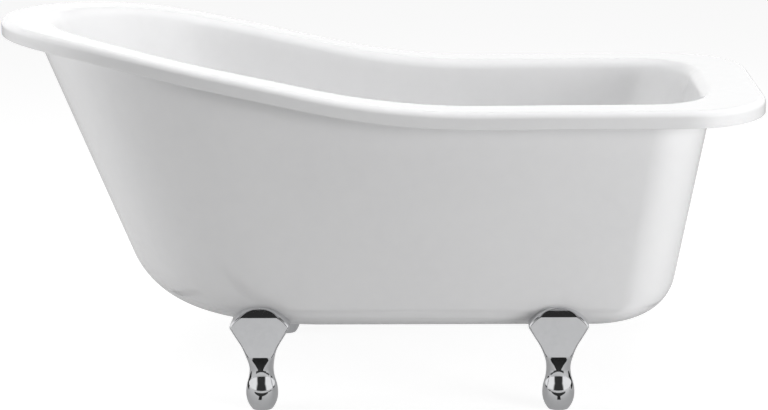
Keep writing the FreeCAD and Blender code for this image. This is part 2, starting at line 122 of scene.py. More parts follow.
def wall(form, key, z):
    """Reach of a wall at height z: a leaning line that runs into a quarter circle at the floor."""
    reach, batter, radius = form[key]
    lean = math.atan(batter)
    start = form["floor"] + radius * (1 - math.sin(lean))
    centre = reach - batter * (form["top"] - start) - radius * math.cos(lean)
    arc = centre + np.sqrt(np.clip(radius ** 2 - (form["floor"] + radius - z) ** 2, 0, None))
    return np.where(z >= start, reach - batter * (form["top"] - z), arc)


print("rim height at the slipper tip: %.0f mm" % rim_height(np.array(-745.0)))

# %% [markdown]
# Both skins are rings of points stacked into a closed sheet. Every ring has the same stations around
# the plan: a half ellipse for the slipper end, straight sides, and two elliptic corners with a straight
# between them at the tap end. The stations are worked out once, as weights, and then serve every
# height and every inset, so neighbouring rings always match point for point.

# %% Stations around the plan
N_NOSE, N_SIDE, N_CORNER, N_END = 150, 70, 60, 26


def stations():
    """Seven weights per station: x is a*x1 + b*x2 + c*nose + d*rx and y is e*half + f*ye + g*ry."""
    def part(n, **weights):
        out = np.zeros((n, 7))
        for key, value in weights.items():
            out[:, "abcdefg".index(key)] = value
        return out
    run = lambda n: np.arange(n) / n
    nose1 = np.pi + run(N_NOSE // 2) * np.pi / 2
    nose2 = np.pi / 2 + run(N_NOSE // 2) * np.pi / 2
    corner1 = (run(N_CORNER) - 1) * np.pi / 2
    corner2 = run(N_CORNER) * np.pi / 2
    side = run(N_SIDE)
    return np.vstack([
        part(len(nose1), a=1, c=np.cos(nose1), e=np.sin(nose1)),
        part(N_SIDE, a=1 - side, b=side, e=-1),
        part(N_CORNER, b=1, d=np.cos(corner1), f=-1, g=np.sin(corner1)),
        part(N_END, b=1, d=1, f=2 * run(N_END) - 1),
        part(N_CORNER, b=1, d=np.cos(corner2), f=1, g=np.sin(corner2)),
        part(N_SIDE, a=side, b=1 - side, e=1),
        part(len(nose2), a=1, c=np.cos(nose2), e=np.sin(nose2))])


PLAN = stations()
N_AROUND = len(PLAN)


def plan_point(left, right, half, nose, rx, ry):
    """x and y at every station of an outline; the sizes may be one number or a column per ring."""
    x1, x2, ye = left + nose, right - rx, half - ry
    a, b, c, d, e, f, g = PLAN.T[:, None, :]
    return a * x1 + b * x2 + c * nose + d * rx, e * half + f * ye + g * ry


def form_ring(form, z):
    """Points of a tub form at height z, given per station and ring."""
    half = wall(form, "side", z)
    k = half / form["side"][0]
    rx, ry = (r * k for r in form["corner"])
    x, y = plan_point(-wall(form, "left", z), wall(form, "right", z), half, form["nose"] * k, rx, ry)
    return x, y


def rim_ring(inset):
    """Plan of the rim, moved in by a distance."""
    rx, ry = (r - inset for r in RIM_CORNER)
    x, y = plan_point(inset - LENGTH / 2, LENGTH / 2 - inset, WIDTH / 2 - inset, RIM_NOSE - inset, rx, ry)
    return x[0], y[0]


print("stations around:", N_AROUND)

# %% [markdown]
# A wall's top edge isn't level: it ends where it meets the rim's side curve. Its height depends on
# where it is, and where it is depends on its height, so the answer is found by trying, taking the
# rim's height at that place, and trying again. The lean is small, so a dozen rounds settle it.

# %% Helpers for closed sheets
POLE = (60.0, 0.0)      # where the rings of a flat floor shrink to a point, along and across


def wall_top(form, drop):
    """Height at each station where a form's wall meets the rim curve lowered by drop."""
    z = np.full((1, N_AROUND), form["top"])
    for _ in range(12):
        z = rim_height(form_ring(form, z)[0]) - drop
    return z[0]


def stack(*rings):
    """Rings of (x, y, z) arrays into one grid of points, ring by ring."""
    rows = []
    for x, y, z in rings:
        x, y, z = np.broadcast_arrays(*(np.atleast_2d(v) for v in (x, y, z)))
        rows.append(np.stack([x, y, z], axis=-1))
    return np.concatenate(rows)


def bend(p, q, r, n):
    """Arc-like run of n rings from p to r that leaves towards q: a conic with weight cos 45 degrees."""
    t = ((np.arange(n) + 1) / (n + 1))[:, None, None]
    w = math.sqrt(0.5)
    a, b, c = (1 - t) ** 2, 2 * w * t * (1 - t), t ** 2
    return (a * p + b * q + c * r) / (a + b + c)


def floor_rings(form, n):
    """Rings of a form's flat floor, evenly spaced from one point out to the floor's outline."""
    x, y = (v[0] for v in form_ring(form, np.full((1, N_AROUND), form["floor"])))
    s = ((np.arange(n) + 1) / (n + 1))[:, None]
    return POLE[0] + (x - POLE[0]) * s, POLE[1] + (y - POLE[1]) * s, np.full_like(s, form["floor"])


def sheet_mesh(name, grid, first, last):
    """A mesh from a grid of rings that closes around and shuts at a point at both ends, faces outward."""
    rings, around = grid.shape[:2]
    points = np.concatenate([grid.reshape(-1, 3), [first, last]]) * MM
    i = np.arange(around)
    j = (i + 1) % around
    row = (np.arange(rings - 1) * around)[:, None]
    quads = np.stack([row + i, row + j, row + around + j, row + around + i], axis=-1).reshape(-1, 4)
    base = rings * around
    end = (rings - 1) * around
    caps = np.concatenate([np.stack([j, i, np.full(around, base)], axis=-1),
                           np.stack([end + i, end + j, np.full(around, base + 1)], axis=-1)])
    mesh = bpy.data.meshes.new(name)
    mesh.from_pydata(points.tolist(), [], quads.tolist() + caps.tolist())
    mesh.polygons.foreach_set("use_smooth", np.full(len(mesh.polygons), True))
    mesh.update()
    piece = bpy.data.objects.new(name, mesh)
    bpy.context.collection.objects.link(piece)
    print(name, len(mesh.polygons), "faces")
    return piece


# %% [markdown]
# The inner skin is one moulding: basin, rounded mouth, rim, turned-down lip and the hidden underside.
# It could be carved out of a block with booleans, but the mouth and lip would then be hard to round.
# Instead one profile is carried round the plan: floor, wall, mouth, rim, lip, and back underneath.

# %% Inner skin
WALL_STEPS, HIDDEN_STEPS, ROUND_STEPS, RIM_STEPS = 54, 40, 9, 15
LIP_CHAMFER = 2.0       # bevel along the lip's lower edge


def wall_rings(form, top, steps, downward=False):
    """Rings up a form's wall, dense near the floor so that the floor radius is even."""
    s = (np.arange(steps) / steps)[:, None] ** 2
    s = s[::-1] if downward else s
    z = form["floor"] + (top - form["floor"]) * s
    x, y = form_ring(form, z)
    return x, y, z


def inner_skin():
    """One profile carried round the plan: floor, wall, rounded mouth, rim, rounded lip, then underneath."""
    top = wall_top(BASIN, 0.0)
    mx, my = (v[0] for v in form_ring(BASIN, top[None]))
    mouth = np.stack([mx, my, top], axis=-1)[None]
    below = top - EDGE_ROUND
    bx, by = (v[0] for v in form_ring(BASIN, below[None]))
    start = np.stack([bx, by, below], axis=-1)[None]
    ox, oy = rim_ring(LIP_ROUND)
    span = np.hypot(ox - mx, oy - my)
    s = EDGE_ROUND / span
    tx, ty = mx + (ox - mx) * s, my + (oy - my) * s
    on_top = np.stack([tx, ty, rim_height(tx)], axis=-1)[None]
    u = np.linspace(0, 1, RIM_STEPS)[:, None]
    px, py = tx + (ox - tx) * u, ty + (oy - ty) * u
    ex, ey = rim_ring(0.0)
    edge = rim_height(ex)
    lip_in = np.stack([ox, oy, rim_height(ox)], axis=-1)[None]
    lip_edge = np.stack([ex, ey, edge], axis=-1)[None]
    lip_out = np.stack([ex, ey, edge - LIP_ROUND], axis=-1)[None]
    cx, cy = rim_ring(LIP_CHAMFER)
    ix, iy = rim_ring(SKIN_IN)
    low = edge - LIP_DROP
    lip_low = np.stack([ex, ey, low + LIP_CHAMFER], axis=-1)[None]
    lip_corner = np.stack([ex, ey, low], axis=-1)[None]
    lip_base = np.stack([cx, cy, low], axis=-1)[None]
    back = grown(BASIN, SKIN_IN)
    back_top = wall_top(back, SKIN_IN)
    wx, wy = (v[0] for v in form_ring(back, back_top[None]))

    def between(s):
        """Ring under the rim, a share s of the way from the wall's back to the lip."""
        x, y = wx + (ix - wx) * s, wy + (iy - wy) * s
        return x, y, rim_height(x) - SKIN_IN

    grid = np.concatenate([
        stack(floor_rings(BASIN, 14)),
        stack(wall_rings(BASIN, below, WALL_STEPS)), start,
        bend(start, mouth, on_top, ROUND_STEPS),
        stack((px, py, rim_height(px))),
        bend(lip_in, lip_edge, lip_out, ROUND_STEPS), lip_out,
        stack((ex, ey, edge - LIP_ROUND - 6)), lip_low,
        bend(lip_low, lip_corner, lip_base, 2), lip_base,
        stack((ix, iy, low), (ix, iy, low + 8), (ix, iy, edge - SKIN_IN - 4), (ix, iy, edge - SKIN_IN)),
        stack(between(0.66), between(0.33), (wx, wy, back_top)),
        stack(wall_rings(back, back_top, HIDDEN_STEPS, downward=True)),
        stack(floor_rings(back, 3))[::-1]])
    return sheet_mesh("bath_inner_skin", grid, (*POLE, BASIN["floor"]), (*POLE, back["floor"]))


inner = inner_skin()
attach(inner, "bath")
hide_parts("inner_shell")

# %% [markdown]
# The outer skin is what the photograph shows most of: a smooth tapered body with a round bottom edge.
# It is made the same way, up the outside, over its hidden top edge under the rim, and down the inside,
# so it has a real thickness wherever its opening underneath lets the eye in.

# %% Outer skin
BODY_STEPS, LINING_STEPS = 76, 50


def outer_skin():
    """Floor and wall of the body, over its top edge, and down a second form set in by its thickness."""
    top = wall_top(BODY, SKIN_IN + GLUE)
    x, y = (v[0] for v in form_ring(BODY, top[None]))
    inside = grown(BODY, -SKIN_OUT)
    inside_top = wall_top(inside, SKIN_IN + GLUE)
    ix, iy = (v[0] for v in form_ring(inside, inside_top[None]))
    grid = np.concatenate([
        stack(floor_rings(BODY, 10)),
        stack(wall_rings(BODY, top, BODY_STEPS), (x, y, top), (ix, iy, inside_top)),
        stack(wall_rings(inside, inside_top, LINING_STEPS, downward=True)),
        stack(floor_rings(inside, 8))[::-1]])
    return sheet_mesh("bath_outer_skin", grid[::-1], (*POLE, inside["floor"]), (*POLE, BODY["floor"]))


outer = outer_skin()
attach(outer, "bath")
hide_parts("outer_shell")

# %% [markdown]
# Holes are cut last, with boolean modifiers that are applied at once: the waste hole and its shallow
# recess, the overflow hole, the long opening under the body that the waste pipe passes through, and
# the foot bolts' holes. Cutting them in the grid would bend its rings for the sake of a few flat places.

# %% Holes
WASTE_X, WASTE_HOLE_R, RECESS_R, RECESS = 383.465, 22.5, 38.0, 2.5
OVERFLOW_Z, OVERFLOW_HOLE_R = 440.0, 24.0
SLOT_START, SLOT_END, SLOT_HALF = WASTE_X - 55, WASTE_X + 170, 45.0
FOOT_X, BOLT_Y, BOLT_HOLE_R = (-222.0, 351.0), 149.0, 5.5


def prism(ring, along):
    """A closed cutting tool: a ring of points in metres, the same ring moved along, and faces between."""
    n = len(ring)
    i = np.arange(n)
    j = (i + 1) % n
    faces = np.stack([i, j, j + n, i + n], axis=-1).tolist() + [i[::-1].tolist(), (i + n).tolist()]
    mesh = bpy.data.meshes.new("tool")
    mesh.from_pydata(np.concatenate([ring, ring + along]).tolist(), [], faces)
    tool = bpy.data.objects.new("tool", mesh)
    bpy.context.collection.objects.link(tool)
    return tool


def rod(start, end, radius, sides=64):
    """A cylinder between two points: a circle in the plane across its axis, moved along the axis."""
    a, b = Vector(start) * MM, Vector(end) * MM
    axis = (b - a).normalized()
    u = axis.orthogonal().normalized()
    v = axis.cross(u)
    t = np.arange(sides) / sides * 2 * np.pi
    circle = np.outer(np.cos(t), u) + np.outer(np.sin(t), v)
    return prism(np.array(a) + circle * radius * MM, np.array(b - a))


def long_tool(x0, x1, half, z0, z1, sides=24):
    """An upright prism with half-round ends: two half circles, moved up."""
    t = np.linspace(-math.pi / 2, math.pi / 2, sides)
    right_end = np.stack([x1 - half + half * np.cos(t), half * np.sin(t)], axis=-1)
    left_end = np.stack([x0 + half - half * np.cos(t), -half * np.sin(t)], axis=-1)
    ring = np.concatenate([right_end, left_end])
    return prism(np.column_stack([ring, np.full(len(ring), z0)]) * MM, np.array([0, 0, (z1 - z0) * MM]))


def cut(piece, tool):
    """Takes a tool's volume out of a piece and removes the tool."""
    cutter = piece.modifiers.new("cut", "BOOLEAN")
    cutter.operation, cutter.solver, cutter.object = "DIFFERENCE", "EXACT", tool
    with bpy.context.temp_override(object=piece):
        bpy.ops.object.modifier_apply(modifier=cutter.name)
    bpy.data.objects.remove(tool)


lean = math.atan(BASIN["right"][1])
out = Vector((math.cos(lean), 0.0, -math.sin(lean)))
on_wall = Vector((float(wall(BASIN, "right", np.array(OVERFLOW_Z))), 0.0, OVERFLOW_Z))
above = BASIN["floor"] + 40
cut(inner, rod((WASTE_X, 0, BASIN["floor"] - 40), (WASTE_X, 0, above), WASTE_HOLE_R))
cut(inner, rod((WASTE_X, 0, BASIN["floor"] - RECESS), (WASTE_X, 0, above), RECESS_R))
cut(inner, rod(on_wall - out * 20, on_wall + out * 20, OVERFLOW_HOLE_R))
print("inner skin after its holes:", len(inner.data.polygons))

cut(outer, long_tool(SLOT_START, SLOT_END, SLOT_HALF, BODY["floor"] - 60, BODY["floor"] + 60))
for x in FOOT_X:
    for y in (-BOLT_Y, BOLT_Y):
        cut(outer, rod((x, y, BODY["floor"] - 10), (x, y, BODY["floor"] + 13), BOLT_HOLE_R))
print("outer skin after its holes:", len(outer.data.polygons))

# %% [markdown]
# The feet are cast and chromed: a ball, a turned neck, and a fan with a flat face under a rounded cap.
# A revolved shape would give the ball but not the flat face, and a boxy shape the reverse. So each foot
# is one skin of level rings whose corners change with height, from a full circle at the ball to a
# crisp edge at the fan. Where the foot meets the body, its points stop just short of the body's wall.

# %% Feet
FOOT_Y = 284.0
BASE_R, BALL_R, BALL_Z, NECK_R, NECK_Z = 20.0, 31.0, 31.0, 23.3, 80.0
FAN_HALF, FAN_LEAN, FAN_Z, FAN_FACE, FAN_TOP, EAR_R = 59.0, math.radians(32.0), 168.0, 187.0, 202.0, 8.0
CAP_RUN, CAP_SWELL = 15.5, 1.0                     # how far the cap leans back, and how full it is
EDGE_R, BEVEL, TOP_EDGE = 3.2, 6.6, 0.6            # rounding of the fan's edge: low, at the ears, on top
TIP_HALF = 0.3                                     # half width of the last ring
ROUND_FADE, FADE_POWER = 36.0, 1.4                 # rise in which the round neck turns into a box
EAR_START, EAR_BLEND, EAR_DEPTH = FAN_Z - 16, 22.0, 1.5
HALF_POINTS, CORNER_SHARE, LONGEST_SIDE = 84, 14.0, 40.0    # how a half ring's points are shared out
FACE_Z, FACE_OUT = 108.0, 6.0
TONGUE_Z, TONGUE_RUN, TONGUE_END = 149.0, 52.0, 129.0
FRONT, BACK = FOOT_Y + NECK_R + FACE_OUT, FOOT_Y - NECK_R


def arc_run(radius, rise):
    """Sideways run of an arc that starts upright, after a rise."""
    return radius - np.sqrt(np.clip(radius ** 2 - rise ** 2, 0, None))


def pear(z):
    """Radius of ball and neck at z: three arcs, upright at the ball's widest place and at the neck."""
    mid_r, mid_z = (BALL_R + NECK_R) / 2, (BALL_Z + NECK_Z) / 2
    upper = ((BALL_R - mid_r) ** 2 + (mid_z - BALL_Z) ** 2) / (2 * (BALL_R - mid_r))
    lower = ((BALL_R - BASE_R) ** 2 + BALL_Z ** 2) / (2 * (BALL_R - BASE_R))
    return np.where(z < BALL_Z, BALL_R - arc_run(lower, BALL_Z - z), np.where(
        z < mid_z, BALL_R - arc_run(upper, z - BALL_Z), NECK_R + arc_run(upper, NECK_Z - z)))


def fan_half(z):
    """Half width of the fan at z: arc out of the neck, straight lean, rounded ear, then the arch."""
    tan, sin, cos = math.tan(FAN_LEAN), math.sin(FAN_LEAN), math.cos(FAN_LEAN)
    flare = (FAN_HALF - NECK_R - (FAN_Z - NECK_Z) * tan) / (1 - cos - sin * tan)
    flare_end = NECK_Z + flare * sin
    arch = (FAN_HALF ** 2 + (FAN_TOP - FAN_Z) ** 2) / (2 * (FAN_TOP - FAN_Z))
    centre_z = FAN_TOP - arch
    # ear: a circle that touches the leaning side and the arch from inside
    near = np.array([FAN_HALF - EAR_R * cos, FAN_Z + EAR_R * sin - centre_z])
    along = near @ np.array([sin, cos])
    step = -along + math.sqrt(along ** 2 - near @ near + (arch - EAR_R) ** 2)
    ear_x, ear_z = near[0] + step * sin, near[1] + step * cos + centre_z
    low_z = ear_z - EAR_R * sin
    high_z = centre_z + (ear_z - centre_z) * arch / (arch - EAR_R)
    side = NECK_R + arc_run(flare, flare_end - NECK_Z) + (z - flare_end) * tan
    ear = ear_x + np.sqrt(np.clip(EAR_R ** 2 - (z - ear_z) ** 2, 0, None))
    top = np.sqrt(np.clip(arch ** 2 - (z - centre_z) ** 2, 0, None))
    return np.where(z < flare_end, NECK_R + arc_run(flare, z - NECK_Z), np.where(
        z < low_z, side, np.where(z < high_z, ear, top)))


print("ball's widest %.1f mm, fan's widest %.1f mm" % (2 * pear(BALL_Z), 2 * fan_half(np.linspace(
    NECK_Z, FAN_TOP, 500)).max()))

# %% [markdown]
# A foot is a stack of level rings, as the skins are. A lathe would do for the ball but not for the fan,
# so every ring is a box with elliptic corners. On the ball the corners are the whole ring, which makes
# it a circle; on the fan they are only a small rounding. One run of rings has no seam at the neck.

# %% Rings of a foot


def body_half(x, z):
    """Half width of the body at a place along it and a height: nose ellipse, straight, corner ellipse."""
    half = wall(BODY, "side", z)
    k = half / BODY["side"][0]
    x1 = BODY["nose"] * k - wall(BODY, "left", z)
    x2 = wall(BODY, "right", z) - BODY["corner"][0] * k
    nose = half * np.sqrt(np.clip(1 - ((x1 - x) / (BODY["nose"] * k)) ** 2, 0, None))
    ry = BODY["corner"][1] * k
    corner = half - ry + ry * np.sqrt(np.clip(1 - ((x - x2) / (BODY["corner"][0] * k)) ** 2, 0, None))
    return np.where(x < x1, nose, np.where(x > x2, corner, half))


def half_ring(w, front, back, cx, cy):
    """Right half of level rings, from the back's middle round to the front's middle.

    Each ring is a rectangle with elliptic corners cx by cy. Its points are spaced by length, with
    an extra share at the corners, so a circle and a crisp box both get an even, matching spread.
    """
    corner = np.pi / 2 * np.sqrt((cx ** 2 + cy ** 2) / 2) + CORNER_SHARE
    side = np.minimum(back - front - 2 * cy, LONGEST_SIDE)
    lengths = np.stack([w - cx, corner, side, corner, w - cx], axis=-1)
    knots = np.concatenate([np.zeros((len(w), 1)), np.cumsum(lengths, axis=-1)], axis=-1)
    u = np.linspace(0, 1, HALF_POINTS) * knots[:, -1:]
    part = np.clip((u[:, :, None] >= knots[:, None, :]).sum(axis=-1) - 1, 0, 4)
    row = np.arange(len(w))[:, None]
    t = (u - knots[row, part]) / np.maximum(lengths[row, part], 1e-9)
    turn = np.clip(t, 0, 1) * np.pi / 2
    w, front, back, cx, cy = (v[:, None] for v in (w, front, back, cx, cy))
    x = np.choose(part, [(w - cx) * t,
                         w - cx + cx * np.sin(turn),
                         w + 0 * t,
                         w - cx + cx * np.cos(turn),
                         (w - cx) * (1 - t)])
    y = np.choose(part, [back + 0 * t,
                         back - cy + cy * np.cos(turn),
                         back - cy + (front - back + 2 * cy) * t,
                         front + cy - cy * np.sin(turn),
                         front + 0 * t])
    return x, y


def foot_heights(gap):
    """Heights of the rings, close together where the outline turns: at the neck, the face and the cap."""
    ball = np.linspace(0, NECK_Z, 60)[:-1]
    neck = np.linspace(NECK_Z, FACE_Z, 24)
    fan = np.linspace(FACE_Z + 2, TONGUE_Z - 0.4, 16)
    face = gap + np.linspace(0, 1, 22) ** 1.5 * (FAN_FACE - 0.5 - gap)
    cap = FAN_FACE + (1 - (1 - np.linspace(0, 1, 30)[1:]) ** 2) * (FAN_TOP - FAN_FACE)
    return np.concatenate([ball, neck, [FACE_Z + 0.5], fan, [TONGUE_Z, gap - 0.2], face, [FAN_FACE], cap])


def foot_depth(z, rise):
    """Front and back of a foot at z: round to the neck, an arc out to face and tongue, then the cap."""
    scoop = ((FACE_Z - NECK_Z) ** 2 + FACE_OUT ** 2) / (2 * FACE_OUT)
    hollow = (TONGUE_RUN ** 2 + (TONGUE_Z - NECK_Z) ** 2) / (2 * TONGUE_RUN)
    over_neck = np.clip(z - NECK_Z, 0, None)
    front = np.where(z < FACE_Z, -FOOT_Y - NECK_R - arc_run(scoop, over_neck), -FRONT)
    front = front + CAP_RUN * rise + CAP_SWELL * (rise ** 2 - rise)
    back = np.where(z < TONGUE_Z, arc_run(hollow, over_neck) - BACK, -TONGUE_END)
    ball = z < NECK_Z
    return np.where(ball, -FOOT_Y - pear(z), front), np.where(ball, pear(z) - FOOT_Y, back)


def foot_corners(z, rise, w, depth):
    """Half axes of the rings' elliptic corners.

    A circle up to the neck fades into a small rounding. At the ears the rounding widens to a bevel,
    which reaches in as far as the outline lies one bevel higher, and it thins out over the arch.
    """
    ball, ears = z < NECK_Z, z > EAR_START
    fade = np.clip(1 - (z - NECK_Z) / ROUND_FADE, 0, 1) ** FADE_POWER
    plain = EDGE_R + (NECK_R - EDGE_R) * fade
    blend = np.clip((z - EAR_START) / EAR_BLEND, 0, 1)
    band = EDGE_R + (BEVEL - EDGE_R) * blend * blend * (3 - 2 * blend)
    band = TOP_EDGE + (band - TOP_EDGE) * (1 - rise) ** 2
    arch_in = w - np.where(z + band < FAN_TOP, fan_half(np.minimum(z + band, FAN_TOP)), 0)
    cx = np.where(ears, np.maximum(np.maximum(plain, band), arch_in), plain)
    cy = np.where(ears, np.maximum(band, EAR_DEPTH), plain)
    cx = np.where(ball, w, np.minimum(cx, w * 0.9999))
    cy = np.where(ball, w, cy)
    return cx, np.minimum(cy, depth / 2)


def foot_rings(x0):
    """Rings of one front foot, from the base to the arch; x0 is its middle. The body trims its back."""
    gap = BODY["floor"] - GLUE
    z = foot_heights(gap)
    rise = np.clip((z - FAN_FACE) / (FAN_TOP - FAN_FACE), 0, 1)
    w = np.maximum(np.where(z < NECK_Z, pear(z), fan_half(z)), TIP_HALF)
    front, back = foot_depth(z, rise)
    cx, cy = foot_corners(z, rise, w, back - front)
    x, y = half_ring(w, front, back, cx, cy)
    x = np.concatenate([x, -x[:, -2:0:-1]], axis=-1)
    y = np.concatenate([y, y[:, -2:0:-1]], axis=-1)
    zz = np.broadcast_to(z[:, None], x.shape)
    limit = -body_half(x + x0, np.maximum(zz, BODY["floor"])) - GLUE
    y = np.where((zz >= gap) & (y > limit), limit, y)
    return np.stack([x + x0, y, zz], axis=-1)


print("rings in a foot:", len(foot_heights(BODY["floor"] - GLUE)))

# %% [markdown]
# All four feet are the same casting, bolted on from below. The front two are made in their places and
# the back two are their mirror images. Edges that turn by more than 20 degrees stay crisp, because
# smooth shading across them would bend the mirror image in the flat face.

# %% Four feet


def foot(name, x0, back):
    """A closed foot; the back ones are the front ones mirrored and turned right side out again."""
    grid = foot_rings(x0) * (1, -1, 1)
    grid = grid if back else grid[:, ::-1] * (1, -1, 1)
    piece = sheet_mesh(name, grid, grid[0].mean(axis=0), grid[-1].mean(axis=0))
    piece.data.set_sharp_from_angle(angle=math.radians(20))
    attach(piece, "bath")
    return piece


feet = []
for x0, end in zip(FOOT_X, ("slipper", "tap")):
    for back, row in ((False, "front"), (True, "back")):
        piece = foot("chromed_foot_%s_%s" % (end, row), x0, back)
        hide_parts("foot_%s_%s" % (end, row))
        feet.append(piece)

# %% [markdown]
# White acrylic is the whole bath. Its colour is nearly even, its gloss is not: real acrylic has a slight
# orange peel from moulding and a faint haze from cloths. A flat white with one roughness looks like
# paint on a model, so two small node groups supply haze and peel to every finish that needs them.

# %% Shared node groups
BROAD_DETAIL, FINE_DETAIL, FINE_RATIO = 3.0, 6.0, 9.0
HAZE_FROM, HAZE_TO = 0.12, 0.42      # part of the two noises' product that is spread over the range


def new_group(name, inputs, output):
    """An empty shader node group with number inputs, given as (name, default), and one output."""
    group = bpy.data.node_groups.new(name, "ShaderNodeTree")
    for label, value in inputs:
        socket = group.interface.new_socket(label, in_out="INPUT", socket_type="NodeSocketFloat")
        socket.default_value = value
    group.interface.new_socket(output, in_out="OUTPUT", socket_type="NodeSocketFloat")
    return group, group.nodes.new("NodeGroupInput"), group.nodes.new("NodeGroupOutput")


def haze_group():
    """Soft value from low to high: two noises of different scale, multiplied, mapped to the range."""
    g, gin, gout = new_group("polish_haze", (("Scale", 6.0), ("Low", 0.1), ("High", 0.2)), "Value")
    coords = g.nodes.new("ShaderNodeTexCoord")
    broad, fine = g.nodes.new("ShaderNodeTexNoise"), g.nodes.new("ShaderNodeTexNoise")
    broad.inputs["Detail"].default_value = BROAD_DETAIL
    fine.inputs["Detail"].default_value = FINE_DETAIL
    ratio = g.nodes.new("ShaderNodeMath")
    ratio.operation = "MULTIPLY"
    ratio.inputs[1].default_value = FINE_RATIO
    blend = g.nodes.new("ShaderNodeMath")
    blend.operation = "MULTIPLY"
    spread = g.nodes.new("ShaderNodeMapRange")
    spread.inputs["From Min"].default_value = HAZE_FROM
    spread.inputs["From Max"].default_value = HAZE_TO
    g.links.new(gin.outputs["Scale"], broad.inputs["Scale"])
    g.links.new(gin.outputs["Scale"], ratio.inputs[0])
    g.links.new(ratio.outputs[0], fine.inputs["Scale"])
    for noise in (broad, fine):
        g.links.new(coords.outputs["Object"], noise.inputs["Vector"])
    g.links.new(broad.outputs["Fac"], blend.inputs[0])
    g.links.new(fine.outputs["Fac"], blend.inputs[1])
    g.links.new(blend.outputs[0], spread.inputs["Value"])
    g.links.new(gin.outputs["Low"], spread.inputs["To Min"])
    g.links.new(gin.outputs["High"], spread.inputs["To Max"])
    g.links.new(spread.outputs["Result"], gout.inputs["Value"])
    return g


def peel_group():
    """Gentle unevenness of a moulded or cast surface: one noise, for a Bump node's height."""
    g, gin, gout = new_group("mould_peel", (("Scale", 40.0), ("Detail", 2.0)), "Height")
    coords, noise = g.nodes.new("ShaderNodeTexCoord"), g.nodes.new("ShaderNodeTexNoise")
    g.links.new(coords.outputs["Object"], noise.inputs["Vector"])
    g.links.new(gin.outputs["Scale"], noise.inputs["Scale"])
    g.links.new(gin.outputs["Detail"], noise.inputs["Detail"])
    g.links.new(noise.outputs["Fac"], gout.inputs["Height"])
    return g


HAZE, PEEL = haze_group(), peel_group()

# %% [markdown]
# Every real surface is a little uneven. The skins are moulded white acrylic. The feet, the waste's flange
# and cap and the overflow's cover are chromed, the bolts are zinc plated, the plug's stem is brass, the
# seals are rubber, the drain's other parts are plastic and the boards are chipboard. One builder makes
# every finish, so that they differ only in tones, haze and bumps.

# %% Finish builder
COAT_ROUGH, TONE_SCALE = 0.04, 0.7      # patches of tone are wider than patches of haze


def place(tree, group, **values):
    """Puts a shared group into a material with its own values."""
    node = tree.nodes.new("ShaderNodeGroup")
    node.node_tree = group
    for label, value in values.items():
        node.inputs[label].default_value = value
    return node


def finish(name, light, dark, rough, peel, metallic=0.0, coat=0.0, haze_scale=6.0):
    """A finish with uneven colour between light and dark, uneven roughness and a moulded bump.

    rough gives the least and the greatest roughness; peel gives the bumps' scale, height and detail.
    """
    peel_scale, peel_height, peel_detail = peel
    material = bpy.data.materials.new(name)
    material.use_nodes = True
    tree = material.node_tree
    shader = tree.nodes["Principled BSDF"]
    shader.inputs["Metallic"].default_value = metallic
    shader.inputs["Coat Weight"].default_value = coat
    shader.inputs["Coat Roughness"].default_value = COAT_ROUGH
    tone = place(tree, HAZE, Scale=haze_scale * TONE_SCALE, Low=0.0, High=1.0)
    mix = tree.nodes.new("ShaderNodeMix")
    mix.data_type = "RGBA"
    mix.inputs["A"].default_value = (*light, 1)
    mix.inputs["B"].default_value = (*dark, 1)
    tree.links.new(tone.outputs["Value"], mix.inputs["Factor"])
    tree.links.new(mix.outputs["Result"], shader.inputs["Base Color"])
    gloss = place(tree, HAZE, Scale=haze_scale, Low=rough[0], High=rough[1])
    tree.links.new(gloss.outputs["Value"], shader.inputs["Roughness"])
    bumps = place(tree, PEEL, Scale=peel_scale, Detail=peel_detail)
    bump = tree.nodes.new("ShaderNodeBump")
    bump.inputs["Strength"].default_value = 1.0
    bump.inputs["Distance"].default_value = peel_height
    tree.links.new(bumps.outputs["Height"], bump.inputs["Height"])
    tree.links.new(bump.outputs["Normal"], shader.inputs["Normal"])
    return material


def wear(piece, material):
    """Gives a whole piece one finish."""
    piece.data.materials.clear()
    piece.data.materials.append(material)


acrylic = finish("white_acrylic", (0.82, 0.82, 0.825), (0.80, 0.80, 0.806),
                 (0.10, 0.16), (14.0, 0.00008, 1.0), coat=0.4)
chrome = finish("polished_chrome", (0.74, 0.745, 0.76), (0.70, 0.705, 0.72),
                (0.03, 0.07), (60.0, 0.00001, 1.0), metallic=1.0, haze_scale=14.0)
zinc = finish("zinc_plate", (0.52, 0.52, 0.54), (0.40, 0.40, 0.43),
              (0.28, 0.42), (300.0, 0.00003, 2.0), metallic=1.0, haze_scale=60.0)
brass = finish("turned_brass", (0.62, 0.45, 0.18), (0.50, 0.35, 0.13),
               (0.2, 0.32), (400.0, 0.00002, 2.0), metallic=1.0, haze_scale=60.0)
rubber = finish("seal_rubber", (0.022, 0.022, 0.023), (0.04, 0.04, 0.042),
                (0.5, 0.7), (700.0, 0.00006, 3.0), haze_scale=50.0)
plastic = finish("drain_plastic", (0.70, 0.70, 0.69), (0.64, 0.64, 0.63),
                 (0.32, 0.45), (500.0, 0.00004, 2.0), haze_scale=30.0)
pipe = finish("pipe_plastic", (0.62, 0.62, 0.61), (0.55, 0.55, 0.54),
              (0.35, 0.5), (250.0, 0.00004, 2.0), haze_scale=30.0)
board = finish("chipboard", (0.46, 0.33, 0.18), (0.30, 0.20, 0.10),
               (0.7, 0.85), (420.0, 0.0004, 6.0), haze_scale=90.0)

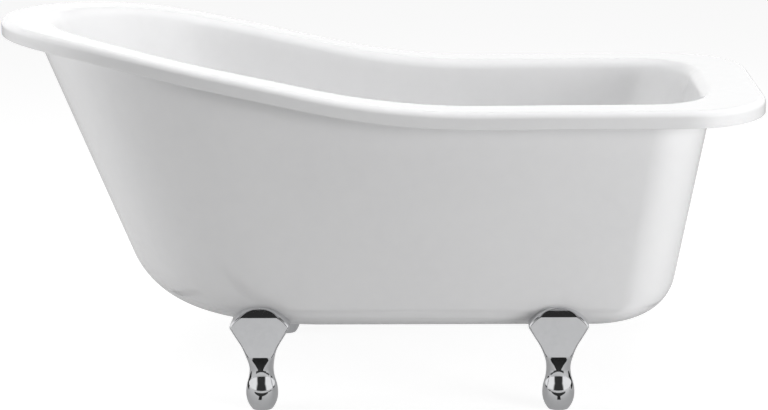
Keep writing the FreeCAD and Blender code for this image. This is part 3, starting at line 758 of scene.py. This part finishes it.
wear(inner, acrylic)
wear(outer, acrylic)
for piece in feet:
    wear(piece, chrome)
FINISHES = {chrome: ("waste_flange", "plug_cap", "overflow_cover"),
            zinc: ("foot_bolts", "foot_washers", "foot_tee_nuts", "overflow_screw"),
            brass: ("plug_stem",),
            rubber: ("waste_seal", "pipe_washer", "plug_seal", "overflow_seal"),
            plastic: ("waste_body", "pipe_nut", "overflow_elbow"),
            pipe: ("overflow_pipe",),
            board: ("base_board", "deck_board")}
for material, names in FINISHES.items():
    for name in names:
        for slot in nodes[name].material_slots:
            slot.material = material
print("finishes:", len(bpy.data.materials))

# %% [markdown]
# The photograph stands on pure white, yet its chrome is full of dark patches, as in a studio where the
# white sheet ends and the room above is dark. So each kind of ray gets its own surround: the camera
# sees white, matt surfaces get a little even light, and gloss sees white walls under a dark room.

# %% Surround
WORLD_SEEN, WORLD_MATT = 1.0, 0.14
WALLS_END, ROOM_STARTS, ROOM = 0.42, 0.60, 0.03     # sines of the height above the horizon; strength
CAMERA_SIDE, CAMERA_DARK = (-0.86, -0.74), 0.04     # the dark place around the camera's direction
BACK_SIDE, BACK_LIGHT = (-0.10, 0.25), 0.6          # the back wall goes on upwards, less bright

world = bpy.data.worlds.new("studio")
bpy.context.scene.world = world
world.use_nodes = True
tree = world.node_tree
sky = tree.nodes["Background"]
sky.inputs["Color"].default_value = (1, 1, 1, 1)


def switch(tree, ray, others, this):
    """A strength with one value for one kind of ray and another for all others."""
    path = tree.nodes.new("ShaderNodeLightPath")
    level = tree.nodes.new("ShaderNodeMapRange")
    level.inputs["To Min"].default_value = others
    level.inputs["To Max"].default_value = this
    tree.links.new(path.outputs[ray], level.inputs["Value"])
    return level.outputs["Result"]


def join(tree, kind, a, b):
    """One number out of two: their sum, the smaller or the larger."""
    node = tree.nodes.new("ShaderNodeMath")
    node.operation = kind
    tree.links.new(a, node.inputs[0])
    tree.links.new(b, node.inputs[1])
    return node.outputs[0]


def surround(tree):
    """What gloss sees: the smaller of walls and camera side, and never less than the back light."""
    coords = tree.nodes.new("ShaderNodeTexCoord")
    split = tree.nodes.new("ShaderNodeSeparateXYZ")
    tree.links.new(coords.outputs["Generated"], split.inputs["Vector"])

    def ramp(axis, start, end, low, high):
        """A value that goes from low to high between two places on an axis of the direction."""
        node = tree.nodes.new("ShaderNodeMapRange")
        for label, value in (("From Min", start), ("From Max", end), ("To Min", low), ("To Max", high)):
            node.inputs[label].default_value = value
        tree.links.new(split.outputs[axis], node.inputs["Value"])
        return node.outputs["Result"]

    walls = ramp("Z", WALLS_END, ROOM_STARTS, 1.0, ROOM)
    walls = join(tree, "MINIMUM", walls, ramp("Y", *CAMERA_SIDE, CAMERA_DARK, 1.0))
    return join(tree, "MAXIMUM", walls, ramp("Y", *BACK_SIDE, 0.0, BACK_LIGHT))


path = tree.nodes.new("ShaderNodeLightPath")
gloss = tree.nodes.new("ShaderNodeMix")
tree.links.new(path.outputs["Is Glossy Ray"], gloss.inputs["Factor"])
tree.links.new(switch(tree, "Is Diffuse Ray", WORLD_SEEN, WORLD_MATT), gloss.inputs["A"])
tree.links.new(surround(tree), gloss.inputs["B"])
tree.links.new(gloss.outputs["Result"], sky.inputs["Strength"])
print("surround nodes:", len(tree.nodes))

# %% [markdown]
# The floor is a matt sheet. It glows nearly white to the camera only, because lamps that light it evenly
# enough for white would drown the bath. Gloss sees it dimmer, as grey, so that the chrome above it
# keeps its dark parts.

# %% Floor
FLOOR_HALF, FLOOR_TONE = 9, 0.36
GLOW, GLOW_SEEN, GLOW_GLOSS = 0.13, 0.86, 0.17      # the last is added for gloss

floor_mesh = bpy.data.meshes.new("studio_floor")
corners = [(x * FLOOR_HALF, y * FLOOR_HALF, 0) for x, y in ((-1, -1), (1, -1), (1, 1), (-1, 1))]
floor_mesh.from_pydata(corners, [], [(0, 1, 2, 3)])
floor = bpy.data.objects.new("studio_floor", floor_mesh)
bpy.context.collection.objects.link(floor)
paint = bpy.data.materials.new("studio_paint")
paint.use_nodes = True
tree = paint.node_tree
base = tree.nodes["Principled BSDF"]
base.inputs["Base Color"].default_value = (FLOOR_TONE, FLOOR_TONE, FLOOR_TONE, 1)
base.inputs["Roughness"].default_value = 0.9
base.inputs["Specular IOR Level"].default_value = 0.0
base.inputs["Emission Color"].default_value = (1, 1, 1, 1)
glow = join(tree, "ADD", switch(tree, "Is Camera Ray", GLOW, GLOW_SEEN),
            switch(tree, "Is Glossy Ray", 0.0, GLOW_GLOSS))
tree.links.new(glow, base.inputs["Emission Strength"])
floor.data.materials.append(paint)
print("floor width:", 2 * FLOOR_HALF, "m")

# %% [markdown]
# Three soft lamps light the white: a long one above, a square one from the right front and a weaker one
# from the left. Gloss doesn't see them, because a lamp's square would show in every curve of the chrome.

# %% Lamps


def softbox(name, place_at, aim, size, watts):
    """A rectangular area lamp that faces a point; gloss doesn't see it."""
    lamp = bpy.data.lights.new(name, "AREA")
    lamp.shape = "RECTANGLE"
    lamp.size, lamp.size_y = size
    lamp.energy = watts
    ob = bpy.data.objects.new(name, lamp)
    ob.location = place_at
    ob.visible_glossy = False
    ob.rotation_euler = (Vector(aim) - Vector(place_at)).to_track_quat("-Z", "Y").to_euler()
    bpy.context.collection.objects.link(ob)


softbox("top_light", (0.0, -0.3, 3.2), (0.0, 0.0, 0.5), (4.0, 0.8), 84.0)
softbox("right_light", (2.9, -2.1, 0.6), (0.3, -0.2, 0.4), (1.6, 1.6), 80.0)
softbox("left_light", (-2.7, -0.5, 0.3), (-0.5, 0.0, 0.4), (1.4, 1.4), 40.0)
print("lamps:", len(bpy.data.lights))

# %% [markdown]
# Four dark cards that only gloss sees are painted shade: they put the bath's shadow on the floor into the
# chrome. One lies on the floor in front of each front foot, which darkens the ball and the neck, and a low
# upright one stands at each foot's outer side, which darkens its edge.

# %% Cards of painted shade
# the cards' darkness is painted shade: the bath's shadow on the floor as the chrome would mirror it
CARD_SHADE_TONE = 0.02
CARD_EDGE = ((12, 350), (22, 420), (200, 475), (400, 640))      # half width and distance, in millimetres
CARD_TURN = 0.025               # share of the foot's sideways distance from the camera
SIDE_CARD_OUT, SIDE_CARD_Y, SIDE_CARD_TOP = 310, (-230, 60), 50
CARD_Z = 1

card_shade = bpy.data.materials.new("shadow_card")
card_shade.use_nodes = True
shader = card_shade.node_tree.nodes["Principled BSDF"]
shader.inputs["Base Color"].default_value = (CARD_SHADE_TONE, CARD_SHADE_TONE, CARD_SHADE_TONE, 1)
shader.inputs["Roughness"].default_value = 1.0


def shadow_card(corners):
    """A dark card that only gloss sees, painted shade for the bath's shadow on the floor; corners in
    millimetres.
    """
    mesh = bpy.data.meshes.new("shadow_card")
    mesh.from_pydata([tuple(v * MM for v in corner) for corner in corners], [], [range(len(corners))])
    mesh.materials.append(card_shade)
    card = bpy.data.objects.new("shadow_card", mesh)
    bpy.context.collection.objects.link(card)
    card.visible_camera = card.visible_diffuse = card.visible_shadow = False


# each front foot gets a painted floor shadow in front of it and a low painted shade card at its outer side
for x, side in zip(FOOT_X, (-1, 1)):
    middle = x + CARD_TURN * (x - EYE.x / MM)
    left_edge = [(middle - half, -y, CARD_Z) for half, y in CARD_EDGE]
    right_edge = [(middle + half, -y, CARD_Z) for half, y in CARD_EDGE]
    shadow_card(left_edge + right_edge[::-1])
    far = x + side * SIDE_CARD_OUT
    near_y, far_y = SIDE_CARD_Y
    shadow_card([(far, near_y, CARD_Z), (far, far_y, CARD_Z),
                (far, far_y, SIDE_CARD_TOP), (far, near_y, SIDE_CARD_TOP)])

# %% [markdown]
# The standard view shows white as white; a film curve would turn the sheet grey.

# %% Close
bpy.context.scene.view_settings.view_transform = "Standard"
